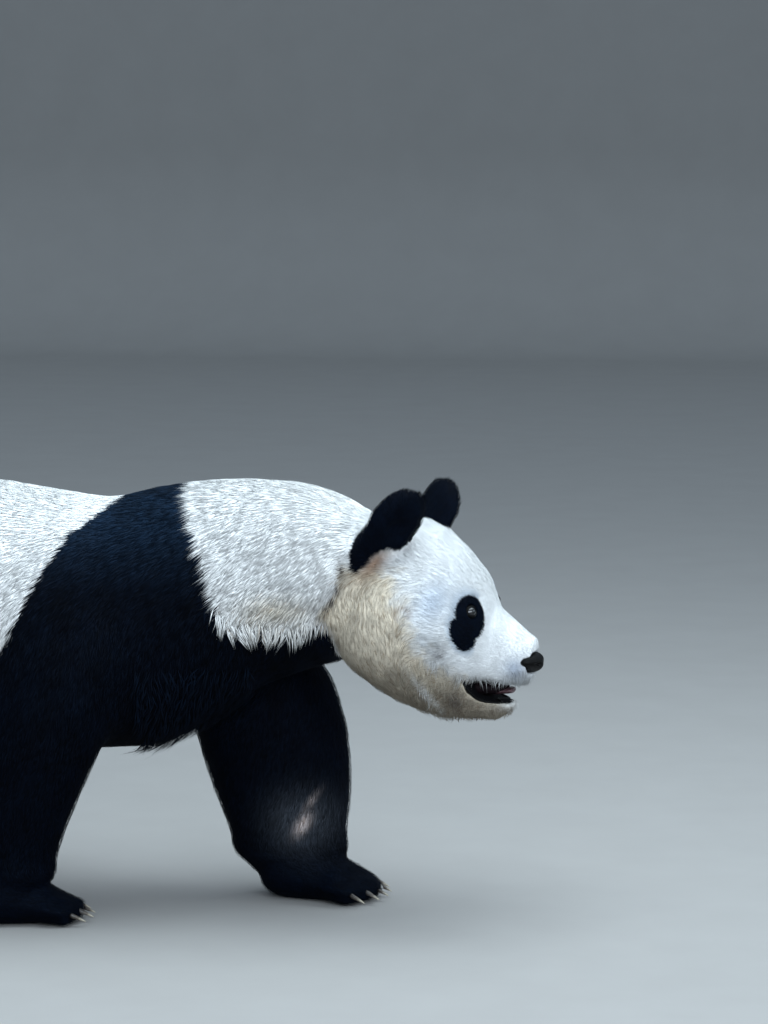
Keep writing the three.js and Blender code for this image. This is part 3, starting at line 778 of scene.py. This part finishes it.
def grow(name, chosen, seed, gap=None, longer=1.0, wider=1.0, rise=None, way=None, clumped=0.08,
         unruly=0.65, tint=None, dim=0.04):
    """Covers the chosen faces of the hide with locks, in as many pieces as they need. White locks
    are darker by a random share of up to `dim`."""
    rng = np.random.default_rng(seed)
    room = face_values[chosen, 2] if gap is None else np.full(len(chosen), gap)
    face, weights = roots(chosen, room * (1.0), seed)
    root = at_roots(hide_points, face, weights)
    up = unit(at_roots(HIDE_NORMAL, face, weights))
    lies = at_roots(lie, face, weights)
    if way is not None:
        lies = lies * 0.25 + unit(np.array(way, dtype=float))
    lies = unit(lies - up * np.sum(lies * up, 1)[:, None])
    length, width, _, lifts = at_roots(values, face, weights).T
    turn = ripple(root, 0.06, 41) * 0.20 + ripple(root, 0.02, 42) * 0.14
    turn = (turn + rng.normal(size=len(root)) * 0.08) * unruly
    lies = lies * np.cos(turn)[:, None] + np.cross(up, lies) * np.sin(turn)[:, None]
    vary = 1 + 0.15 * ripple(root, 0.03, 43) + 0.14 * rng.normal(size=len(root))
    length = length * longer * vary.clip(0.55, 1.6)
    width = width * wider * rng.uniform(0.75, 1.3, len(root)) * 1.0
    lifts = (lifts if rise is None else rise) * rng.uniform(0.90, 1.12, len(root))
    if way is None:
        colour = paint(root + lies * (length * COVER)[:, None], *at_roots(covered, face, weights).T)
    else:
        colour = paint(root, *at_roots(np.stack([black, crease], 1), face, weights).T)
    pale = colour.mean(1) > 0.1
    creamy, _ = creaminess(root)
    shade = np.where(pale, rng.uniform(1 - dim, 1.03, len(root)), rng.uniform(0.7, 1.5, len(root)))
    stained = pale & (rng.random(len(root)) < 0.25 * creamy)
    colour = colour * np.where(stained[:, None], (0.66, 0.60, 0.55), shade[:, None])
    if tint is not None:
        colour = np.where(pale[:, None], colour, np.array(tint) * shade[:, None])
    uv = np.einsum("ij,ijk->ik", weights, HIDE_UV[face])
    most = PIECE_TRIANGLES // len(BLADE)
    for k in range(0, len(root), most):
        part = slice(k, k + most)
        blades(f"{name}_{k // most + 1}", root[part], up[part], lies[part], length[part],
               width[part], lifts[part], colour[part], uv[part], clumped)
    print(name, len(root), "locks")


face_kind = kind[FACES[:, 0]]
face_values = values[FACES].mean(1)
face_centre = hide_points[FACES].mean(1)
face_normal = unit(HIDE_NORMAL[FACES].mean(1))
sole = (face_normal[:, 2] < -0.75) & (face_centre[:, 2] < 0.012)
bare = sole | (lip_gap(face_centre) < 0.001) | (eye_distance(face_centre) < 0.0135)
bare |= wedge_depth(face_centre) > 0.0005
GROUPS = {
    "coat_head": ("head", "jaw"),
    "coat_ears": ("ear",),
    "coat_neck": ("neck",),
    "coat_shoulders": ("chest", "upper_arm"),
    "coat_barrel": ("barrel",),
    "coat_rump": ("rump", "tail", "thigh"),
    "coat_legs": ("forearm", "shank"),
    "coat_feet": ("forepaw", "hindfoot"),
}
for seed, (name, kinds) in enumerate(GROUPS.items()):
    chosen = np.flatnonzero(np.isin(face_kind, kinds) & ~bare)
    grow(name, chosen, 100 + seed)

# ---------------- long hair
# The neck's white hair hangs in a ragged fringe over the black of the chest, the chest's own
# hair stands out between the forelegs, and a thin beard hangs from the jaw.

x, y, z = face_centre.T
edge = np.interp(x, THROAT_X, THROAT_HEIGHT)
low_neck = (face_kind == "neck") & (np.abs(z - edge - 0.008) < 0.014) & (np.abs(y) > 0.05)
grow("fringe_neck", np.flatnonzero(low_neck), 201, gap=0.0040, longer=1.1, wider=1.0, rise=0.28,
     way=(0.15, 0, -1), clumped=0.6, unruly=1.8)
low_chest = np.isin(face_kind, ("neck", "chest")) & (z < 0.44) & (x > 0.12) & (x < 0.30)
# These black locks are tinted navy, a painted reflection of the sky.
grow("fringe_chest", np.flatnonzero(low_chest), 202, gap=0.0070, longer=1.5, wider=1.2, rise=0.35,
     way=(-0.2, 0, -1), clumped=0.4, unruly=1.8, tint=(0.0014, 0.0040, 0.0100))
under = (face_kind == "barrel") & (face_normal[:, 2] < -0.5)
grow("fringe_belly", np.flatnonzero(under), 203, gap=0.011, longer=1.3, rise=0.45, clumped=0.4)
f, s, h = in_head(face_centre).T
chin = np.isin(face_kind, ("head", "jaw")) & (face_normal[:, 2] < -0.35) & (f > -0.10) & (f < 0.075)
grow("beard", np.flatnonzero(chin & ~bare), 204, gap=0.0048, longer=1.35, wider=0.8, rise=0.40,
     way=(0.3, 0, -1), clumped=0.3, unruly=2.2, dim=0.3)

# ---------------- bristles
# Fine white bristles hang over the upper lip, with sparse longer ones among them that cross the
# open mouth. Others stand out from the front of the muzzle and from the chin.

upper = np.interp(f, MOUTH_F, LIP_UPPER)
lip = (h > upper) & (h < upper + 0.012) & (f > MOUTH_F[0] - 0.006) & ~bare
grow("bristles_lip", np.flatnonzero(lip), 211, gap=0.0018, longer=1.5, wider=0.6, rise=0.30,
     way=(0.2, 0, -1), clumped=0.2, unruly=1.8, dim=0.5)
grow("bristles_long", np.flatnonzero(lip), 213, gap=0.0042, longer=3.2, wider=0.7, rise=0.22,
     way=(0.25, 0, -1), clumped=0.15, unruly=1.8)
muzzle_front = (f > 0.050) & (h < -0.096) & (h > -0.127) & ~bare
grow("bristles_front", np.flatnonzero(muzzle_front), 214, gap=0.0022, longer=2.1, wider=0.7,
     rise=0.55, way=(0.5, 0, -1), clumped=0.2, unruly=2.4, dim=0.5)
lower = np.interp(f, MOUTH_F, LIP_LOWER)
chin = (h < lower - 0.001) & (h > lower - 0.020) & (f > 0.02) & ~bare
grow("bristles_chin", np.flatnonzero(chin), 212, gap=0.0028, longer=1.7, wider=0.7, rise=0.7,
     way=(0.6, 0, -0.6), clumped=0.2, unruly=2.4)

# ---------------- eyes
# Small dark brown eyes under a clear wet cornea. Bare black lids hug each ball and leave an
# opening that is nearly round. The lids are bedded in the hide round the socket.

EYE_SEGMENTS, EYE_RINGS = 48, 32
CORNEA_ANGLE = math.radians(38)  # from the middle of the pupil out to the iris's edge
CORNEA_RISE = 0.0011


def dish(centre, axes, rings, segments, place):
    """Closed mesh of rings round the third axis. place(ring, angle) gives (across, up, out)."""
    points, faces = [], []
    for ring in range(rings + 1):
        for k in range(segments):
            points.append(centre + np.array(place(ring / rings, 2 * math.pi * k / segments)) @ axes)
    for ring in range(rings):
        for k in range(segments):
            a, b = ring * segments + k, ring * segments + (k + 1) % segments
            faces.append((a, b, b + segments, a + segments))
    return np.array(points), faces


def weld(obj):
    """Joins the corners that lie together, and turns every face outwards."""
    bm = bmesh.new()
    bm.from_mesh(obj.data)
    bmesh.ops.remove_doubles(bm, verts=bm.verts, dist=1e-6)
    bmesh.ops.recalc_face_normals(bm, faces=bm.faces)
    bm.to_mesh(obj.data)
    bm.free()


def ramp(nodes, links, value, stops, shader):
    """Gives the surface colours that follow a value. Each stop is a value and its colour."""
    node = nodes.new("ShaderNodeValToRGB")
    for k, (place, colour) in enumerate(stops):
        stop = node.color_ramp.elements[k] if k < 2 else node.color_ramp.elements.new(place)
        stop.position, stop.color = place, (*colour, 1)
    links.new(value, node.inputs["Fac"])
    links.new(node.outputs["Color"], shader.inputs["Base Color"])


eye_material, nodes, links, shader = material("eye", 0.06)
shader.inputs["Coat Weight"].default_value = 1.0
shader.inputs["Coat Roughness"].default_value = 0.02
shader.inputs["Specular IOR Level"].default_value = 0.1
# Pupil, brown iris, its dark rim and the dusky white, by how far round the ball from its front.
EYE_TONES = (
    (0.0, (0.001, 0.001, 0.001)),
    (0.20, (0.001, 0.001, 0.001)),
    (0.25, (0.005, 0.003, 0.003)),
    (0.38, (0.003, 0.0025, 0.003)),
    (0.45, (0.001, 0.001, 0.001)),
    (0.52, (0.004, 0.004, 0.004)),
)
waver = add(nodes, "ShaderNodeMapRange", To_Min=-0.02, To_Max=0.02)
links.new(grain(nodes, links, 900.0), waver.inputs["Value"])
total = nodes.new("ShaderNodeMath")
links.new(attribute(nodes, "angle")["Fac"], total.inputs[0])
links.new(waver.outputs["Result"], total.inputs[1])
ramp(nodes, links, total.outputs["Value"], EYE_TONES, shader)


def black_skin(name, roughness, cells):
    """Bare, slightly moist black skin, pebbled in cells of the given number to a metre."""
    made, nodes, links, shader = material(name, roughness)
    shader.inputs["Specular IOR Level"].default_value = 0.08
    tone = add(nodes, "ShaderNodeMapRange", To_Min=0.001, To_Max=0.003)
    links.new(grain(nodes, links, 120.0), tone.inputs["Value"])
    links.new(tone.outputs["Result"], shader.inputs["Base Color"])
    place = nodes.new("ShaderNodeTexCoord")
    pebbles = add(nodes, "ShaderNodeTexVoronoi", Scale=cells)
    links.new(place.outputs["Object"], pebbles.inputs["Vector"])
    bump(nodes, links, shader, pebbles.outputs["Distance"], 0.5, 0.4 / cells)
    return made


lid_material = black_skin("lid_skin", 0.42, 1400.0)
# A lid's section, from its inner edge out over its top and back underneath: each point's place as
# a share of the opening, and its height over the eyeball.
LID_SECTION = ((1.0, -0.0012), (0.97, 0.0003), (1.02, 0.0011), (1.15, 0.0015), (1.36, 0.0012),
               (1.62, 0.0002), (1.86, -0.0018), (1.75, -0.0032), (1.40, -0.0024), (1.12, -0.0018))

for side, eye in EYE.items():

    def ball_point(t, a):
        angle = t * math.pi
        out = EYE_RADIUS + CORNEA_RISE * max(0.0, math.cos(min(angle / CORNEA_ANGLE, 1) * math.pi / 2))
        across = EYE_RADIUS * math.sin(angle)
        return across * math.cos(a), across * math.sin(a), out * math.cos(angle)

    def lid_point(t, a):
        wide, rise = LID_SECTION[round(t * len(LID_SECTION)) % len(LID_SECTION)]
        across = wide * EYE_OPENING[0] * math.copysign(abs(math.cos(a)) ** 0.9, math.cos(a))
        up = wide * EYE_OPENING[1] * math.sin(a) * (1.0 if math.sin(a) > 0 else 0.9)
        return across, up, math.sqrt(max((EYE_RADIUS + rise) ** 2 - across**2 - up**2, 1e-5))

    points, faces = dish(eye, EYE_AXES[side], EYE_RINGS, EYE_SEGMENTS, ball_point)
    ball = mesh_object("eyeball_" + side, points, faces)
    ring_angle = np.repeat(np.arange(EYE_RINGS + 1) / EYE_RINGS * math.pi / 2, EYE_SEGMENTS)
    layer = ball.data.attributes.new(name="angle", type="FLOAT", domain="POINT")
    layer.data.foreach_set("value", ring_angle.astype(np.float32))
    weld(ball)
    ball.data.materials.append(eye_material)
    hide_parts("eye_" + side)
    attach(ball, "root")

    points, faces = dish(eye, EYE_AXES[side], len(LID_SECTION), 64, lid_point)
    lid = mesh_object("lids_" + side, points, faces)
    weld(lid)
    lid.data.materials.append(lid_material)
    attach(lid, "root")

# ---------------- nose
# A broad bare pad of pebbled black skin, with a narrow foot that runs down to the lip, a groove
# in the middle of it and a comma-shaped nostril on each side.

NOSE_HALF = np.array([0.0258, 0.0330, 0.0178])
nose_material = black_skin("nose_skin", 0.42, 1000.0)


def round_point(t, a):
    """A point of a ball of radius one: t runs from its front to its back, and a goes round."""
    ring = math.sin(t * math.pi)
    return np.array([math.cos(t * math.pi), ring * math.cos(a), ring * math.sin(a)])


def nose_point(t, a):
    d = round_point(t, a)
    d[2] = math.copysign(abs(d[2]) ** 0.75, d[2])
    narrow = 1 - 0.48 * float(step(0.15, -0.85, np.array(d[2])))
    f, s, h = d * NOSE_HALF * (1, narrow, 1)
    front = max(d[0], 0)
    hole = float(blot(abs(s) - 0.0115, h + 0.0015, 0.0040, 0.0030))
    past = abs(s) - 0.0185
    slit = float(blot(past, h + 0.0005 - 0.2 * past, 0.0050, 0.0014))
    groove = math.exp(-((s / 0.0010) ** 2)) * float(step(0.004, -0.003, np.array(h)))
    f -= front * (0.0065 * hole + 0.0035 * slit + 0.0014 * groove)
    return f, s, h


points, faces = dish(middle("nose"), HEAD_AXES, 120, 160, nose_point)
nose = mesh_object("nose_pad", points, faces)
weld(nose)
nose.data.materials.append(nose_material)
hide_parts("nose")
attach(nose, "root")

# ---------------- mouth
# Black lips run round the open mouth, the lower one showing its moist edge. Behind them the
# mouth is dark, and the dusky tongue lies on the lower jaw.

hide_tree = BVHTree.FromPolygons([Vector(p) for p in points_of(hide.data)], FACES.tolist())


def from_head(f, s, h):
    return BETWEEN_EYES + np.array([f, s, h]) @ HEAD_AXES


def on_hide(start, towards):
    """Where a ray meets the hide, as a list that is empty if it misses."""
    hit = hide_tree.ray_cast(Vector(start), Vector(towards))[0]
    return [] if hit is None else [np.array(hit)]


def tube(name, path, radii, around, mat):
    """A closed tube along a path of points, with its own radius at each."""
    path = np.array(path)
    along = unit(np.gradient(path, axis=0))
    angles = np.arange(around) * 2 * math.pi / around
    points, faces = [], []
    for p, d, r in zip(path, along, radii):
        u = unit(np.cross(d, HEAD_FORWARD + HEAD_UP * 0.3))
        v = np.cross(d, u)
        points += [p + r * (u * math.cos(a) + v * math.sin(a)) for a in angles]
    for i in range(len(path) - 1):
        for k in range(around):
            a, b = i * around + k, i * around + (k + 1) % around
            faces.append((a, b, b + around, a + around))
    faces.append(tuple(range(around))[::-1])
    faces.append(tuple((len(path) - 1) * around + k for k in range(around)))
    obj = mesh_object(name, points, faces)
    weld(obj)
    obj.data.materials.append(mat)
    return obj


def smooth_path(points, count):
    """`count` points along a smooth curve through these."""
    points = np.array(points)
    t = np.linspace(0, len(points) - 1, count)
    for _ in range(2):
        inner = (points[:-2] + 2 * points[1:-1] + points[2:]) / 4
        points = np.concatenate([points[:1], inner, points[-1:]])
    return np.stack([np.interp(t, np.arange(len(points)), column) for column in points.T], 1)


lip_material = black_skin("lip_skin", 0.30, 1100.0)
LIP_RADIUS = {"upper": 0.0012, "lower": 0.0022}
LIP_STEPS = 96
LIP_ENDS = 12  # steps over which a lip thins out at each corner of the mouth
for which, heights, inward in (("upper", LIP_UPPER, 0.0004), ("lower", LIP_LOWER, -0.0008)):
    halves = []
    for side in (-1, 1):
        half = []
        for f in np.linspace(MOUTH_F[0] + 0.001, 0.078, 14):
            height = np.interp(f, MOUTH_F, heights) + inward
            outward = np.array([0, side, 0]) @ HEAD_AXES
            half += on_hide(from_head(f, side * 0.2, height), -outward)
        halves.append(half)
    front = []
    for s in (-0.012, 0, 0.012):
        front += on_hide(from_head(0.25, s, heights[-1] + inward), -HEAD_FORWARD)
    path = smooth_path(halves[0] + front + halves[1][::-1], LIP_STEPS)
    path = path - 0.0008 * unit(path - from_head(0.0, 0, heights[2]))
    from_end = np.minimum(np.arange(LIP_STEPS), np.arange(LIP_STEPS)[::-1])
    taper = np.sqrt(np.clip(from_end / LIP_ENDS, 0.1, 1))
    lip = tube("lip_" + which, path, LIP_RADIUS[which] * taper, 12, lip_material)
    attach(lip, "root")


def two_tones(nodes, links, shader, share, one, other):
    """Lets the surface's colour vary between two, by a noise."""
    tone = nodes.new("ShaderNodeMix")
    tone.data_type = "RGBA"
    tone.inputs["A"].default_value = (*one, 1)
    tone.inputs["B"].default_value = (*other, 1)
    links.new(share, tone.inputs["Factor"])
    links.new(tone.outputs["Result"], shader.inputs["Base Color"])


LINING_PLACE, LINING_HALF = (-0.004, 0, -0.131), np.array([0.054, 0.028, 0.015])
mat, nodes, links, shader = material("mouth_lining", 0.6)
shader.inputs["Specular IOR Level"].default_value = 0.1
folds = grain(nodes, links, 90.0)
two_tones(nodes, links, shader, folds, (0.003, 0.002, 0.003), (0.012, 0.006, 0.008))
bump(nodes, links, shader, folds, 0.4, 0.001)
points, faces = dish(
    from_head(*LINING_PLACE), HEAD_AXES, 24, 32, lambda t, a: LINING_HALF * round_point(t, a)
)
lining = mesh_object("mouth_lining", points, faces)
weld(lining)
lining.data.materials.append(mat)
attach(lining, "root")


def rounded(name, nodes_named, levels):
    """One smooth piece in place of these CAD nodes: their own shapes, subdivided. Its attribute
    `out` runs from nought at the root of each to one at its tip."""
    points, faces, out = [], [], []
    for node in nodes_named:
        own_points, own_faces, _ = clean(node)
        faces += (own_faces + len(points)).tolist()
        points += own_points.tolist()
        out += ((own_points[:, 0] - own_points[:, 0].min()) / np.ptp(own_points[:, 0])).tolist()
    obj = mesh_object(name, points, faces)
    layer = obj.data.attributes.new(name="out", type="FLOAT", domain="POINT")
    layer.data.foreach_set("value", np.array(out, dtype=np.float32))
    smoother = obj.modifiers.new("smooth", "SUBSURF")
    smoother.levels = smoother.render_levels = levels
    take_modifiers(obj)
    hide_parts(*nodes_named)
    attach(obj, "root")
    return obj


tongue = rounded("tongue_flesh", ["tongue"], 3)
mat, nodes, links, shader = material("tongue", 0.32)
blush = grain(nodes, links, 220.0)
two_tones(nodes, links, shader, blush, (0.045, 0.020, 0.024), (0.115, 0.058, 0.066))
bump(nodes, links, shader, grain(nodes, links, 1600.0), 0.6, 0.0005)
tongue.data.materials.append(mat)

# ---------------- claws
# Strong horn claws, five to a foot. Each is dark brown at its root and worn to ivory at its tip,
# and is streaked along its length.

mat, nodes, links, shader = material("claw_horn", 0.38)
streaks = grain(nodes, links, 260.0, 4.0)
wear = nodes.new("ShaderNodeMath")
wear.operation = "MULTIPLY_ADD"
links.new(streaks, wear.inputs[0])
wear.inputs[1].default_value = 0.5
links.new(attribute(nodes, "out")["Fac"], wear.inputs[2])
CLAW_TONES = (
    (0.35, (0.018, 0.014, 0.012)),
    (0.75, (0.075, 0.060, 0.046)),
    (1.0, (0.34, 0.305, 0.235)),
)
ramp(nodes, links, wear.outputs["Value"], CLAW_TONES, shader)
bump(nodes, links, shader, streaks, 0.4, 0.0006)
for limb in ("fore", "hind"):
    for side in ("left", "right"):
        five = [f"{limb}claw_{side}_{k}" for k in range(1, 6)]
        claws = rounded(f"{limb}claws_{side}", five, 2)
        claws.data.materials.append(mat)

# ---------------- studio
# A plain floor that curves up into a backdrop, with a big soft light overhead, as from open sky,
# and weaker ones at the animal's side and front.

SWEEP = 0.9  # radius of the curve between floor and backdrop
BACK = 11.0  # where the curve starts, behind the animal
BACKDROP = 6.0  # how high it stands
quarter = np.linspace(0, math.pi / 2, 16)
curve = [(BACK + SWEEP * math.sin(a), SWEEP * (1 - math.cos(a))) for a in quarter]
profile = [(-BACK, 0.0)] + curve + [(BACK + SWEEP, BACKDROP)]
ground_points = [(x, y, z) for y, z in profile for x in (-BACK, BACK)]
ground_faces = [(2 * i, 2 * i + 1, 2 * i + 3, 2 * i + 2) for i in range(len(profile) - 1)]
ground = mesh_object("floor", ground_points, ground_faces)
mat, nodes, links, shader = material("floor", 0.85)
two_tones(nodes, links, shader, grain(nodes, links, 6.0), (0.27, 0.26, 0.25), (0.30, 0.29, 0.28))
ground.data.materials.append(mat)


def soft_light(name, position, target, size, power, colour):
    lamp = bpy.data.lights.new(name, "AREA")
    lamp.shape = "RECTANGLE"
    lamp.size, lamp.size_y = size
    lamp.energy = power
    lamp.color = colour
    obj = bpy.data.objects.new(name, lamp)
    bpy.context.scene.collection.objects.link(obj)
    obj.location = position
    obj.rotation_mode = "QUATERNION"
    obj.rotation_quaternion = (Vector(target) - Vector(position)).to_track_quat("-Z", "Y")


HEART = Vector(middle("chest"))
soft_light("sky", HEART + Vector((0.5, -0.3, 3.2)), HEART, (4.0, 3.0), 203, (0.80, 0.93, 1.0))
soft_light("near", HEART + Vector((1.6, -4.0, 1.4)), HEART, (3.0, 2.0), 133, (0.80, 0.90, 1.0))
soft_light("front", HEART + Vector((4.0, -0.5, 1.6)), HEART, (2.0, 2.0), 41, (0.80, 0.92, 1.0))

world = bpy.data.worlds.new("studio")
bpy.context.scene.world = world
world.use_nodes = True
sky = world.node_tree.nodes["Background"].inputs
sky["Color"].default_value = (0.68, 0.84, 1.0, 1)
sky["Strength"].default_value = 0.69
bpy.context.scene.view_settings.view_transform = "Standard"

# ---------------- camera
# From the animal's right, a little in front and above, close enough to cut its hindquarters off.

AZIMUTH, ELEVATION, DISTANCE = math.radians(6), math.radians(7), 6.5
AIM = Vector((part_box("chest")[0].x + 0.608, 0, 0.675))
VIEW_HEIGHT = 1.69  # metres of the picture's long side, at the animal
flat = math.cos(ELEVATION)
away = Vector((math.sin(AZIMUTH) * flat, -math.cos(AZIMUTH) * flat, math.sin(ELEVATION)))
camera = bpy.data.objects.new("camera", bpy.data.cameras.new("camera"))
bpy.context.scene.collection.objects.link(camera)
camera.location = AIM + away * DISTANCE
camera.rotation_mode = "QUATERNION"
camera.rotation_quaternion = (-away).to_track_quat("-Z", "Y")
camera.data.lens = camera.data.sensor_width * DISTANCE / VIEW_HEIGHT
bpy.context.scene.camera = camera
